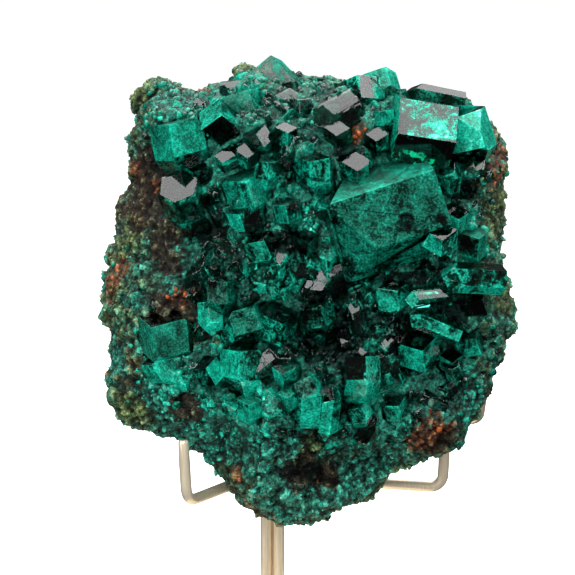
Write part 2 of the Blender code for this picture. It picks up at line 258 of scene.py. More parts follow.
colours = {
    "black": (0.0012, 0.005, 0.004, 1),
    "deepGreen": (0.001, 0.034, 0.022, 1),
    "green": (0.002, 0.125, 0.080, 1),
    "teal": (0.003, 0.31, 0.205, 1),
    "bright": (0.012, 0.62, 0.43, 1),
    "pale": (0.42, 0.86, 0.78, 1),
    "rust": (0.36, 0.075, 0.012, 1),
    "brown": (0.040, 0.016, 0.006, 1),
}

crystalTones = ((0.00, colours["black"]), (0.22, colours["deepGreen"]), (0.44, colours["green"]),
                (0.66, colours["teal"]), (0.86, colours["bright"]), (1.00, colours["pale"]))

# Patches on the front: where their middle shows in the picture and how far they reach, in millimetres. The
# black patches are painted shade in hollows, the vug and undersides.

patches = {
    "rust": [(194, 91, 3.4), (274, 131, 2.4), (358, 134, 2.6), (491, 150, 4.2), (494, 168, 4.0),
             (435, 430, 3.6), (422, 446, 3.0), (237, 478, 1.8), (366, 509, 3.2), (110, 285, 3.6),
             (122, 268, 2.2), (178, 300, 2.0), (160, 188, 2.0), (488, 128, 2.6), (452, 452, 3.0),
             (138, 168, 1.8)],
    "olive": [(494, 210, 5.5), (500, 190, 3.5), (122, 250, 4.0), (229, 345, 2.8), (311, 445, 3.0),
              (240, 72, 4.0), (150, 96, 4.0), (505, 300, 3.5), (130, 410, 4.0), (490, 235, 3.5),
              (135, 225, 4.0), (186, 200, 3.0)],
    "green": [(290, 500, 8.0), (250, 450, 7.0), (340, 492, 6.0), (372, 468, 5.0), (225, 425, 6.0),
              (400, 435, 4.0), (165, 395, 6.0), (300, 440, 6.0), (200, 440, 6.0), (350, 440, 6.0),
              (120, 360, 4.0)],
    # painted shadow: the brown patches near (298, 470) and (325, 480) darken the band under a ledge; the rest
    # are brown crust
    "brown": [(158, 176, 7.0), (178, 222, 3.0), (160, 248, 3.0), (178, 330, 3.0), (172, 312, 5.0),
              (440, 440, 5.0), (170, 260, 3.0), (184, 410, 3.5), (298, 470, 4.5), (440, 462, 4.5),
              (148, 205, 6.0), (196, 330, 3.0), (325, 480, 3.5), (165, 230, 4.0), (180, 185, 4.0)],
    # painted shade: these black patches darken hollows, the vug and undersides
    "black": [(325, 338, 7.5), (352, 330, 5.0), (250, 135, 3.0), (214, 231, 3.4), (259, 219, 2.6),
              (284, 244, 3.4), (460, 198, 3.6), (370, 98, 2.6), (420, 162, 4.5), (290, 470, 2.8),
              (175, 158, 4.0), (345, 150, 3.0), (330, 300, 4.0), (300, 320, 4.0), (395, 330, 4.0),
              (455, 310, 3.5), (355, 205, 3.0), (240, 260, 3.0), (160, 160, 2.5), (310, 472, 2.5)],
}

# Where the crystals are brighter or darker than the rest, in the same way; the dark areas are partly painted
# shade, in hollows and on undersides such as the long prism's

crystalAreas = {
    "bright": [(238, 112, 2.6), (240, 88, 4), (168, 122, 4), (474, 122, 6), (385, 64, 5),
               (310, 400, 5), (262, 338, 6), (150, 355, 6), (480, 250, 6), (330, 158, 2.5),
               (262, 392, 5), (240, 215, 3.5), (267, 163, 3.5), (418, 330, 3), (292, 130, 2.5),
               (318, 112, 2.0), (200, 440, 5), (340, 455, 4), (298, 212, 4), (262, 252, 4),
               (408, 178, 5), (228, 322, 4), (298, 322, 2.5), (437, 357, 5), (228, 152, 3),
               (268, 60, 4), (160, 392, 6), (367, 392, 4), (470, 392, 5), (260, 440, 5), (177, 192, 3)],
    "dark": [(325, 338, 8), (250, 140, 4), (214, 231, 4), (284, 244, 4), (460, 198, 4), (360, 100, 4),
             (420, 162, 5), (345, 150, 4), (484, 304, 5), (350, 268, 5), (455, 300, 4), (245, 185, 4),
             (332, 405, 3), (212, 132, 4), (395, 330, 4), (290, 90, 3), (310, 300, 4), (175, 335, 5),
             (357, 188, 3), (478, 340, 4), (362, 410, 3.5), (425, 300, 4), (345, 240, 3),
             (212, 255, 4), (262, 108, 3.5), (302, 108, 3.5), (332, 112, 4.5), (158, 148, 4),
             (190, 152, 5), (157, 288, 6), (190, 288, 5), (228, 284, 5), (402, 290, 5), (437, 288, 4),
             (332, 358, 5), (437, 394, 5), (297, 428, 4), (390, 150, 4)],
    "pale": [(285, 138, 2.2), (318, 118, 2.2), (298, 205, 2.6), (309, 219, 2.0), (268, 118, 1.4),
             (137, 188, 1.6)],
    "bare": [(158, 172, 5), (158, 205, 5), (160, 240, 5), (168, 275, 4), (175, 308, 3), (155, 92, 4),
             (196, 90, 4), (298, 474, 5), (436, 434, 4), (492, 155, 4), (496, 205, 5), (184, 405, 2),
             (229, 345, 1.5)],
}

rockTree = treeOf([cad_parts["matrix_rock"]])
patchPlaces = {name: [(landing(rockTree, across, down), reach * mm) for across, down, reach in spots]
               for name, spots in patches.items()}
areaPlaces = {name: [(landing(rockTree, across, down), reach * mm) for across, down, reach in spots]
              for name, spots in crystalAreas.items()}


def patchMask(graph, name, wobble):
    mask = None
    for centre, reach in patchPlaces[name]:
        spot = graph.spot(centre, reach, wobble)
        mask = spot if mask is None else graph.maths("MAXIMUM", mask, spot)
    return mask


def nearness(places, name):  # 1 in the middle of an area and 0 past its reach
    near = np.zeros(len(places))
    for centre, reach in areaPlaces[name]:
        away = np.linalg.norm(places - np.array(centre), axis=1) / (reach * 1.5)
        near = np.maximum(near, np.clip(1.5 - 1.5 * away, 0, 1))
    return near


moods = {  # a crystal is clear and dark, between, or frosted
    "steps": (-1, 0, 1),
    "odds": (0.34, 0.42, 0.24),
    "step": 1.2,
    "chance": 0.4,
    "brightTone": 0.22,
    "brightFrost": 0.36,
    "darkTone": 0.36,
    "darkFrost": 0.18,
    "frostSpread": 1.7,
    "brightest": 0.82,
}


def ownValues(places, tone, frost, spread, paleness=0.0):  # of crystals or faces, from where they are
    bright, dark, pale = (nearness(places, name) for name in ("bright", "dark", "pale"))
    bright = bright * (1 - dark)
    mood = dice.choice(moods["steps"], len(places), p=moods["odds"]) * moods["step"]
    mood = (mood + dice.normal(size=len(places)) * moods["chance"]) * spread
    # the dark areas lower the tone, partly as painted shade
    tones = tone + moods["brightTone"] * bright - moods["darkTone"] * dark + mood
    tones = np.clip(tones, 0, moods["brightest"]) + paleness * pale
    frosts = frost + moods["brightFrost"] * bright - moods["darkFrost"] * dark + mood * moods["frostSpread"]
    return np.stack([np.clip(tones, 0, 1), np.clip(frosts, 0, 1), np.full(len(places), 0.5)], axis=1)


crustTones = {  # from the pits to the tips of the crust, with painted shade in the pits
    "green": (
        (0.0, (0.001, 0.008, 0.006, 1)), (0.3, (0.002, 0.050, 0.034, 1)), (0.58, (0.006, 0.17, 0.115, 1)),
        (0.82, (0.015, 0.36, 0.25, 1)), (1.0, (0.08, 0.60, 0.44, 1))),
    "olive": (
        (0.0, (0.004, 0.004, 0.001, 1)), (0.3, (0.020, 0.028, 0.008, 1)), (0.55, (0.050, 0.110, 0.034, 1)),
        (0.8, (0.17, 0.20, 0.045, 1)), (1.0, (0.36, 0.40, 0.17, 1))),
    "rust": (
        (0.0, (0.008, 0.003, 0.001, 1)), (0.35, (0.045, 0.013, 0.004, 1)), (0.62, (0.15, 0.036, 0.008, 1)),
        (0.82, (0.26, 0.085, 0.018, 1)), (1.0, (0.36, 0.23, 0.09, 1))),
    "brown": (
        (0.0, (0.002, 0.001, 0.001, 1)), (0.5, (0.022, 0.009, 0.004, 1)),
        (0.8, (0.085, 0.042, 0.014, 1)), (1.0, (0.20, 0.22, 0.11, 1))),
}

# The part of the front that larger crystals cover: its middle, half width and half height, up and down

front = {
    "middle": (8 * mm, 73 * mm),
    "half": (32 * mm, 38 * mm, 31 * mm),
    "depth": (30 * mm, 19 * mm),
    "rim": (0.80, 1.10),  # where the crust starts and is full, of the half width
    "wobble": 0.16,
    "squareness": 4,
    "thinned": 6,  # how fast the crystals stop past the rim
    "facing": (0.25, 2.5),  # and as a place turns away from the viewer
}


def rimShare(graph, wobble):  # 0 on the front, 1 on the crusted rim and the back
    across, depth, up = graph.split(graph.place)
    sideways = graph.maths("ABSOLUTE", (across - front["middle"][0]) * (1 / front["half"][0]))
    upwards = graph.maths("ABSOLUTE", (up - front["middle"][1]) * (1 / front["half"][1]))
    backwards = (depth + front["depth"][0]) * (1 / front["depth"][1])
    away = graph.maths("MAXIMUM", graph.maths("MAXIMUM", sideways, upwards), backwards)
    return graph.between(away + graph.swing(wobble, front["wobble"]), *front["rim"])


crust = {
    "coarse": (6 * mm, 3),  # a pattern's size, detail and roughness
    "fine": (1.0 * mm, 5, 0.7),
    "speck": (0.45 * mm, 4, 0.75),
    "wobble": (2.4 * mm, 6, 0.75),
    "region": (15 * mm, 3),
    "lace": (1.5 * mm, 0.16, 0.8),  # its size, how thin its lines are and how they swirl
    "contrast": (1.9, 0.66),  # how much the height counts, and what is taken off it; this deepens the painted shade in the pits
    "raised": {"fine": 0.26, "speck": 0.40, "lace": 0.25, "rim": 0.08},
    "oliveParts": (0.4, 0.6),
    "brownParts": (0.3, 0.4, 0.3),
    "rimmed": 0.80,  # how much of the rim is olive or brown there
    "browned": 0.10,
    "olive": (0.44, 0.54),  # where a region starts and is full
    "brown": (0.48, 0.56),
    "rust": (0.40, 0.54),
    "covered": {"green": 0.80, "olive": 0.85, "brown": 0.90},
    # how much the black patches of painted shade cover
    "black": 0.85,
}


def crustColour(graph, tone):  # tone is high on the bumps and low in the pits, a painted shade
    coarse, fine, speck, wobble, region = (
        graph.noise(*crust[name]) for name in ("coarse", "fine", "speck", "wobble", "region"))
    lace = graph.lines(*crust["lace"])
    rim = rimShare(graph, coarse)
    gain, offset = crust["contrast"]
    raised = crust["raised"]
    height = tone * gain - offset + graph.swing(fine, raised["fine"]) + graph.swing(speck, raised["speck"])
    height = height + lace * raised["lace"] + rim * raised["rim"]
    scale = {name: graph.ramp(height, stops) for name, stops in crustTones.items()}
    first, second = crust["oliveParts"]
    oliveShare = graph.between(coarse * first + wobble * second, *crust["olive"]) * (rim * crust["rimmed"])
    first, second, third = crust["brownParts"]
    brownPlace = fine * first + wobble * second + region * third
    brownShare = graph.between(brownPlace, *crust["brown"]) * (rim * crust["rimmed"] + crust["browned"])
    colour = graph.mix(oliveShare, scale["green"], scale["olive"])
    colour = graph.mix(brownShare, colour, scale["brown"])
    # the brown patches hold a painted shadow under a ledge as well as brown crust
    for name, share in crust["covered"].items():
        colour = graph.mix(patchMask(graph, name, wobble) * share, colour, scale[name])
    rusty = patchMask(graph, "rust", wobble) * graph.between(fine, *crust["rust"])
    colour = graph.mix(rusty, colour, scale["rust"])
    # painted shade: the black patches darken hollows and undersides
    return graph.mix(patchMask(graph, "black", wobble) * crust["black"], colour, colours["black"])


# Rough holds where the roughness starts and is full, its share and its least

crustSkins = {
    "gossan": {"lumps": (0.5 * mm, 4, 0.7), "rough": (0.3, 0.8, 0.35, 0.45), "bump": 0.55 * mm},
    "crust": {"lumps": (0.25 * mm, 3, 0.6), "rough": (0.2, 0.9, 0.4, 0.3), "bump": 0.06 * mm},
}


def crustFinish(name):
    graph = Graph(name)
    lumps = graph.noise(*crustSkins[name]["lumps"])
    low, high, share, least = crustSkins[name]["rough"]
    return graph.finish(graph.surface(
        Base_Color=crustColour(graph, graph.own()[0]),
        Roughness=graph.between(lumps, low, high) * share + least,
        Normal=graph.bump(lumps, crustSkins[name]["bump"])))


dioptase = {
    "glass": (0.25, 0.92, 0.78, 1),
    "absorbed": (0.02, 0.74, 0.62, 1),
    "density": 300,  # of the green, for each metre of the light's way
    "refraction": 1.68,
    "frostRefraction": 1.42,
    "cloud": (5.0 * mm, 3, 0.55),  # a pattern's size, detail and roughness
    "wisps": (2.2 * mm, 6, 0.65, None, 1.2),
    "sugar": (0.36 * mm, 3, 0.7),
    "waves": (3.0 * mm, 1, 0.5),
    "lines": (2.6 * mm, 0.06, 1.6),  # their size, how thin they are and how they swirl
    "slanted": (0.35, 0.75),  # such faces mirror the light overhead, so they stay smooth
    "level": (0.72, 0.95),
    "frost": {"cloud": 0.20, "wisps": 0.26, "sugar": 0.10, "lines": 0.06, "wear": 0.16, "slanted": 0.20},
    "shade": {"cloud": 0.12, "wisps": 0.28, "sugar": 0.22, "lines": 0.07, "wear": 0.36},
    "calmed": {"waves": 0.85, "ripple": 0.95},  # how much slanted faces lose of each
    "frosted": (0.40, 0.62),  # the frost at which a place starts and ends to cloud over
    "clearRough": (0.4, 0.7, 0.06, 0.02),
    "frostRough": (0.3, 0.7, 0.2, 0.14),
    "levelRough": 0.40,
    "clearBump": 0.05 * mm,
    "frostBump": 0.14 * mm,
}


def dioptaseFinish():
    graph = Graph("dioptase")
    tone, frost, wear = graph.own()
    wear = wear - 0.5
    cloud, wisps, sugar, waves = (
        graph.noise(*dioptase[name]) for name in ("cloud", "wisps", "sugar", "waves"))
    lines = graph.lines(*dioptase["lines"])
    upward = graph.upward()
    slanted = graph.between(upward, *dioptase["slanted"])
    waves = waves * (1 - slanted * dioptase["calmed"]["waves"])
    counts = dioptase["frost"]
    ripple = graph.swing(cloud, counts["cloud"]) + graph.swing(wisps, counts["wisps"])
    ripple = ripple + graph.swing(sugar, counts["sugar"]) + lines * counts["lines"]
    frost = frost + ripple * (1 - slanted * dioptase["calmed"]["ripple"])
    frost = frost + wear * counts["wear"] - slanted * counts["slanted"]
    counts = dioptase["shade"]
    # the shade takes painted shade towards each crystal's foot and a painted highlight on its rims
    shade = tone + graph.swing(cloud, counts["cloud"]) + graph.swing(wisps, counts["wisps"])
    shade = shade + graph.swing(sugar, counts["sugar"]) + wear * counts["wear"] + lines * counts["lines"]
    low, high, share, least = dioptase["clearRough"]
    clear = graph.surface(
        Base_Color=dioptase["glass"], Roughness=graph.between(cloud, low, high) * share + least,
        Transmission_Weight=1.0, IOR=dioptase["refraction"],
        Normal=graph.bump(waves, dioptase["clearBump"]))
    level = graph.between(upward, *dioptase["level"])
    low, high, share, least = dioptase["frostRough"]
    frosted = graph.surface(
        Base_Color=graph.ramp(shade, crystalTones), IOR=dioptase["frostRefraction"],
        Roughness=level * dioptase["levelRough"] + graph.between(sugar, low, high) * share + least,
        Normal=graph.bump(waves, dioptase["frostBump"]))
    share = graph.between(frost, *dioptase["frosted"])
    skin = graph.node("ShaderNodeMixShader", None, {0: share, 1: clear, 2: frosted})
    absorbed = {"Color": dioptase["absorbed"], "Density": dioptase["density"]}
    return graph.finish(skin, graph.node("ShaderNodeVolumeAbsorption", None, absorbed))


sparkle = {
    "fine": (0.5 * mm, 4, 0.7),
    "wobble": (2.2 * mm, 4, 0.7),
    "swing": 0.12,
    # the black patches are painted shade, and the brown ones include a painted shadow under a ledge
    "covered": {"brown": 0.7, "rust": 0.85, "black": 0.8},
    "roughness": 0.25,
    "bump": 0.04 * mm,
}


def druseFinish():
    graph = Graph("druse")
    fine = graph.noise(*sparkle["fine"])
    wobble = graph.noise(*sparkle["wobble"])
    colour = graph.ramp(graph.own()[0] + graph.swing(fine, sparkle["swing"]), crystalTones)
    for name, share in sparkle["covered"].items():
        colour = graph.mix(patchMask(graph, name, wobble) * share, colour, colours[name])
    return graph.finish(graph.surface(
        Base_Color=colour, Roughness=sparkle["roughness"], IOR=dioptase["refraction"],
        Normal=graph.bump(fine, sparkle["bump"])))


mist = {"wisps": (0.8 * mm, 5, 0.7), "pale": (0.4, 0.7), "seen": (0.42, 0.62), "cover": 0.75, "rough": 0.3}


def veilFinish():
    graph = Graph("veil")
    wisps = graph.noise(*mist["wisps"])
    colour = graph.mix(graph.between(wisps, *mist["pale"]), colours["teal"], colours["pale"])
    return graph.finish(graph.surface(
        Base_Color=colour, Roughness=mist["rough"],
        Alpha=graph.between(wisps, *mist["seen"]) * mist["cover"]))


metal = {
    "stretch": (1, 1, 0.06),
    "streaks": (0.25 * mm, 3, 0.6),
    "shown": (0.3, 0.7),
    "dark": (0.88, 0.74, 0.53, 1),
    "bright": (1.0, 0.88, 0.68, 1),
    "metallic": 0.65,
    "rough": (0.2, 0.8, 0.12, 0.30),
    "bump": 0.01 * mm,
}


def metalFinish():
    graph = Graph("champagne_metal")
    stretch = graph.node("ShaderNodeMapping", None, {"Vector": graph.place, "Scale": metal["stretch"]})
    streaks = graph.noise(*metal["streaks"], stretch)
    low, high, share, least = metal["rough"]
    return graph.finish(graph.surface(
        Base_Color=graph.mix(graph.between(streaks, *metal["shown"]), metal["dark"], metal["bright"]),
        Metallic=metal["metallic"], Roughness=graph.between(streaks, low, high) * share + least,
        Normal=graph.bump(streaks, metal["bump"])))


dioptaseSurface = dioptaseFinish()
druseSurface = druseFinish()
rockSurface = crustFinish("gossan")
grainSurface = crustFinish("crust")
metalSurface = metalFinish()
veilSurface = veilFinish()
print("finishes done")


# Many copies of a few models, joined in one piece

shadeAndRimWeights = {"height": 0.7, "rim": 0.3}  # painted shade: how much a crystal lightens towards its tip and darkens towards its foot, and how much its faces' rims are frosted and given a painted highlight


def storeOwn(piece, domain, values):
    store = piece.data.attributes.new("own", "FLOAT_COLOR", domain)
    filled = np.concatenate([values, np.ones((len(values), 1))], axis=1)
    store.data.foreach_set("color", filled.astype(np.float32).ravel())


def cornersOf(piece):
    return np.array([vertex.co for vertex in piece.data.vertices])


def surfacePoints(piece, count, calm=None):  # the ways out are a calm copy's, where there is one
    corners = cornersOf(piece)
    piece.data.calc_loop_triangles()
    triangles = np.array([triangle.vertices for triangle in piece.data.loop_triangles])
    first, second, third = (corners[triangles[:, index]] for index in range(3))
    steady = corners if calm is None else calm
    start, after, last = (steady[triangles[:, index]] for index in range(3))
    normals = np.cross(after - start, last - start)
    areas = np.linalg.norm(normals, axis=1)
    chosen = dice.choice(len(triangles), count, p=areas / areas.sum())
    share = dice.uniform(size=(count, 2))
    share[share.sum(1) > 1] = 1 - share[share.sum(1) > 1]
    along = share[:, :1] * (second - first)[chosen]
    beside = share[:, 1:] * (third - first)[chosen]
    places = first[chosen] + along + beside
    return places, normals[chosen] / areas[chosen, None]


def framesOf(axes, sides):
    sides = sides / np.linalg.norm(sides, axis=1)[:, None]
    return np.stack([sides, np.cross(axes, sides), axes], axis=2)


def turns(normals, tilt):  # a frame for each copy, its third axis near the normal
    axes = normals + dice.normal(size=normals.shape) * tilt
    axes /= np.linalg.norm(axes, axis=1)[:, None]
    return framesOf(axes, np.cross(axes, dice.normal(size=normals.shape)))


def crystalTurns(normals, tilt):  # a small share has an end face turned up to the light
    axes = turns(normals, tilt)[:, :, 2]
    ways = np.array([0, 0, -1]) + dice.normal(size=normals.shape) * smallCrystal["turn"]
    ways[dice.uniform(size=len(ways)) < smallCrystal["litShare"]] *= -1
    return framesOf(axes, ways - axes * (ways * axes).sum(1)[:, None])


def joinedCopies(name, models, places, frames, sizes, values):
    corners, loops, starts, owned = [], [], [], []
    cornerCount = loopCount = 0
    kinds = dice.integers(len(models), size=len(places))
    for kind, model in enumerate(models):
        picked = np.flatnonzero(kinds == kind)
        shape = cornersOf(model)
        faces = [np.array(face.vertices) for face in model.data.polygons]
        faceStarts = np.cumsum([0] + [len(face) for face in faces[:-1]])
        flat = np.concatenate(faces)
        scaled = shape[None] * sizes[picked][:, None]
        moved = np.einsum("kij,knj->kni", frames[picked], scaled) + places[picked][:, None]
        corners.append(moved.reshape(-1, 3))
        mine = np.repeat(values[picked], len(shape), axis=0)
        # painted shade towards each copy's foot, and frosted rims with a painted highlight
        height = (shape[:, 2] - shape[:, 2].min()) / np.ptp(shape[:, 2])
        rim = np.array([not vertex.select for vertex in model.data.vertices])
        mine[:, 2] = np.tile(height ** 2 * shadeAndRimWeights["height"] + rim * shadeAndRimWeights["rim"], len(picked))
        owned.append(mine)
        loops.append((flat[None] + cornerCount + len(shape) * np.arange(len(picked))[:, None]).ravel())
        starts.append((faceStarts[None] + loopCount + len(flat) * np.arange(len(picked))[:, None]).ravel())
        cornerCount += len(shape) * len(picked)
        loopCount += len(flat) * len(picked)
    corners, loops, starts = np.concatenate(corners), np.concatenate(loops), np.concatenate(starts)
    mesh = bpy.data.meshes.new(name)
    mesh.vertices.add(len(corners))
    mesh.vertices.foreach_set("co", corners.ravel().astype(np.float32))
    mesh.loops.add(len(loops))
    mesh.loops.foreach_set("vertex_index", loops.astype(np.int32))
    mesh.polygons.add(len(starts))
    mesh.polygons.foreach_set("loop_start", starts.astype(np.int32))
    mesh.update(calc_edges=True)
    piece = newPiece(name, mesh)
    storeOwn(piece, "POINT", np.concatenate(owned))
    return piece


rodNames = ("left_rod", "right_rod", "back_rod")
rodTree = treeOf([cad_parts[name] for name in rodNames])


def clearOf(tree, places, gaps):
    return np.array([tree.find_nearest(Vector(place), gap)[0] is None for place, gap in zip(places, gaps)])


def outsideOf(tree, places, gaps):  # whether each place is outside the meshes by its gap
    outside = []
    for place, gap in zip(places, gaps):
        nearest, normal, index, away = tree.find_nearest(Vector(place))
        ahead = (Vector(place) - nearest).dot(normal) > 0
        outside.append((away if ahead else -away) > gap)
    return np.array(outside)


def frontShare(places, normals, reach):  # how likely a crystal stands here, from 0 to 1
    across = (places[:, 0] - front["middle"][0]) / front["half"][0]
    up = places[:, 2] - front["middle"][1]
    up = up / np.where(up > 0, front["half"][1], front["half"][2])
    power = front["squareness"]
    away = (np.abs(across) ** power + np.abs(up) ** power) ** (1 / power)
    least, slope = front["facing"]
    facing = np.clip(least - normals[:, 1] * slope, 0, 1)
    covered = np.clip((reach - away) * front["thinned"], 0, 1) * facing
    return covered * (1 - nearness(places, "bare"))


# The rock: the solid's own shape with balls of crust on its rim, closed round the crystals' feet

rock = {
    "swell": 0.25 * mm,
    "voxel": 0.53 * mm,
    "smooth": 2,
    "lumps": (("CLOUDS", 3.6 * mm, 1.3 * mm, ""), ("VORONOI", 2.4 * mm, -1.4 * mm, "rim"),
              ("VORONOI", 1.0 * mm, -0.9 * mm, "rim"), ("CLOUDS", 0.6 * mm, 0.7 * mm, "rim")),
    "calm": 20,
    "hollow": 0.9 * mm,  # how deep a pit is that gets the darkest painted shade
    "rimCalm": 0.85,
    "rimSteps": 10,
    "tone": (0.46, 0.5),
    "balls": 900,
    "ballReach": 0.95,
    "ballRadius": (0.8, 2.3),
    "ballShape": (0.8, 1.1),
    "ballSunk": 0.45,
    "rodGap": 0.9 * mm,
    "corner": ((146, 104, 2.6), (152, 94, 3.0), (163, 91, 3.0), (173, 95, 2.4), (142, 96, 1.8),
               (158, 86, 1.8)),
}


def makeBalls(piece):  # rounded crust on the rim, the back and one upper corner
    bpy.ops.mesh.primitive_ico_sphere_add(subdivisions=2, radius=1)
    model = bpy.context.object
    places, normals = surfacePoints(piece, rock["balls"])
    kept = dice.uniform(size=len(places)) > frontShare(places, normals, rock["ballReach"])
    places, normals = places[kept], normals[kept]
    radii = dice.uniform(*rock["ballRadius"], len(places)) * mm
    places = places - normals * (radii * rock["ballSunk"])[:, None]
    corner = np.array([landing(rockTree, across, down) for across, down, radius in rock["corner"]])
    places = np.concatenate([places, corner])
    radii = np.concatenate([radii, [radius * mm for across, down, radius in rock["corner"]]])
    free = clearOf(rodTree, places, radii + rock["rodGap"])
    places, radii = places[free], radii[free]
    frames = turns(places, 1.0)
    sizes = radii[:, None] * dice.uniform(*rock["ballShape"], (len(places), 3))
    balls = joinedCopies("balls", [model], places, frames, sizes, np.zeros((len(places), 3)))
    bpy.data.objects.remove(model)
    makeActive(piece)
    balls.select_set(True)
    bpy.ops.object.join()


def gatherRim(piece):  # the group of corners outside the crystals' front
    normals = np.array([vertex.normal for vertex in piece.data.vertices])
    share = 1 - frontShare(cornersOf(piece), normals, 1.0) * rock["rimCalm"]
    count = rock["rimSteps"]
    steps = np.round(share * count).astype(int)
    group = piece.vertex_groups.new(name="rim")
    for step in range(1, count + 1):
        group.add(np.flatnonzero(steps == step).tolist(), step / count, "REPLACE")


def makeRock():
    piece = mergedCopy("matrix_rock", "rock_skin")
    makeBalls(piece)
    applyModifier(piece, "DISPLACE", strength=rock["swell"], mid_level=0.0)
    applyModifier(piece, "REMESH", mode="VOXEL", voxel_size=rock["voxel"])
    applyModifier(piece, "SMOOTH", iterations=rock["smooth"])
    gatherRim(piece)
    for kind, size, height, group in rock["lumps"]:
        roughen(piece, kind, size, height, group)
    makeActive(piece)
    bpy.ops.object.shade_smooth()
    finishPiece(piece, rockSurface, "gossan", "matrix_rock")
    return piece


def calmCorners(piece):  # where its corners would be without the smaller lumps
    calm = newPiece("calm", piece.data.copy())
    applyModifier(calm, "SMOOTH", iterations=rock["calm"])
    corners = cornersOf(calm)
    bpy.data.objects.remove(calm)
    return corners


def pitShadeOf(piece, calm):  # painted shade: low in the pits and high on the bumps
    normals = np.array([vertex.normal for vertex in piece.data.vertices])
    heights = ((cornersOf(piece) - calm) * normals).sum(1) / rock["hollow"]
    middle, swing = rock["tone"]
    return np.clip(middle + swing * heights, 0, 1)


rockSkin = makeRock()
rockCalm = calmCorners(rockSkin)
rockPitShade = pitShadeOf(rockSkin, rockCalm)
rockIndex = KDTree(len(rockPitShade))
for number, corner in enumerate(cornersOf(rockSkin)):
    rockIndex.insert(corner, number)
rockIndex.balance()
storeOwn(rockSkin, "POINT", np.repeat(rockPitShade[:, None], 3, axis=1))
print("rock done:", len(rockSkin.data.polygons), "faces")


# The crystals that the solid model holds, with their edges worn

crystal = {
    "edge": 0.14 * mm,
    "edgeAngle": math.radians(15),
    "stray": 0.25 * mm,
    "rim": 0.10,  # how wide the frosted rim of a face is, of its size; the rim also gets a painted highlight
    "flat": math.radians(4),  # faces closer in angle than this are one face
    "near": 0.05 * mm,  # how close a look's place is to the face that has it
    "tall": 5 * mm,
    "tone": 0.41,
    "frost": 0.54,
    "spread": 0.07,
}

# Faces that stand out: tone and frost of each look, and where its faces show in the picture

faceLooks = {
    "sugary": (0.55, 0.90, [(475, 120), (460, 120), (483, 132), (385, 68), (481, 250), (481, 230),
                            (490, 232), (494, 245), (476, 236), (238, 95), (252, 98), (246, 104),
                            (232, 106), (213, 108)]),
    "muted": (0.40, 0.85, [(350, 195), (165, 130), (185, 138), (140, 340), (165, 340)]),
    "misty": (0.26, 0.58, [(385, 250), (253, 300), (300, 385), (238, 335)]),
    "dim": (0.20, 0.60, [(385, 205), (441, 270), (398, 290), (150, 318)]),
    "clouded": (0.56, 0.46, [(415, 120), (365, 80), (345, 80), (260, 62)]),
    "glassy": (0.46, 0.20, [(443, 232), (336, 127), (357, 166), (460, 213), (423, 345), (283, 317),
                            (355, 365)]),
    "deep": (0.20, 0.55, [(350, 275), (226, 290)]),
    # the dark look on the long prism's underside at (415, 157) is painted shade
    "dark": (0.14, 0.05, [(415, 157), (222, 128), (484, 310), (250, 160), (441, 283), (332, 395),
                          (330, 138), (343, 138)]),
}
crystalNodes = [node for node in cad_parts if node.startswith(("crystal_", "cluster_"))]
nodeTree = treeOf([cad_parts[node] for node in crystalNodes])
lookPlaces = [(landing(nodeTree, across, down), tone, frost)
              for tone, frost, spots in faceLooks.values() for across, down in spots]


def faceValues(piece):
    middles = np.array([face.center for face in piece.data.polygons])
    values = ownValues(middles, crystal["tone"], crystal["frost"], crystal["spread"])
    for place, tone, frost in lookPlaces:
        found, nearest, normal, index = piece.closest_point_on_mesh(place)
        if (nearest - place).length < crystal["near"]:
            values[index, :2] = tone, frost
    return values


def heightOverRock(place):  # from 0 at the rock to 1 at a crystal's full height, for the painted shade near the rock
    nearest, normal, index, away = rockTree.find_nearest(place)
    return min(away / crystal["tall"], 1.0) if (place - nearest).dot(normal) > 0 else 0.0


def makeCrystal(node):
    piece = mergedCopy(node, "shown_" + node)
    editAll()
    bpy.ops.mesh.dissolve_limited(angle_limit=crystal["flat"])
    bpy.ops.object.mode_set(mode="OBJECT")
    values = faceValues(piece)
    spread = [values[face.index] for face in piece.data.polygons for corner in face.vertices]
    storeOwn(piece, "CORNER", np.array(spread))
    editAll()
    bpy.ops.mesh.inset(thickness=crystal["rim"], use_individual=True, use_relative_offset=True)
    bpy.ops.object.mode_set(mode="OBJECT")
    # painted shade, darker near the rock, and frosted rims with a painted highlight
    rimAndFootShade = [shadeAndRimWeights["rim"] * (not vertex.select) + shadeAndRimWeights["height"] * heightOverRock(vertex.co)
            for vertex in piece.data.vertices]
    for loop, stored in zip(piece.data.loops, piece.data.attributes["own"].data):
        stored.color = (*stored.color[:2], rimAndFootShade[loop.vertex_index], 1.0)
    applyModifier(piece, "BEVEL", width=crystal["edge"], segments=2, limit_method="ANGLE",
                  angle_limit=crystal["edgeAngle"])
    for vertex in piece.data.vertices:  # a sliver of a face can throw a corner far out
        nearest, normal, index, away = nodeTree.find_nearest(vertex.co)
        if away > crystal["stray"]:
            vertex.co = nearest
    finishPiece(piece, dioptaseSurface, "dioptase", node)
    return piece


bigCrystals = [makeCrystal(node) for node in crystalNodes]
print("large crystals done:", len(bigCrystals))


# Small crystals: a few are modelled, and each joined piece holds many copies in many sizes

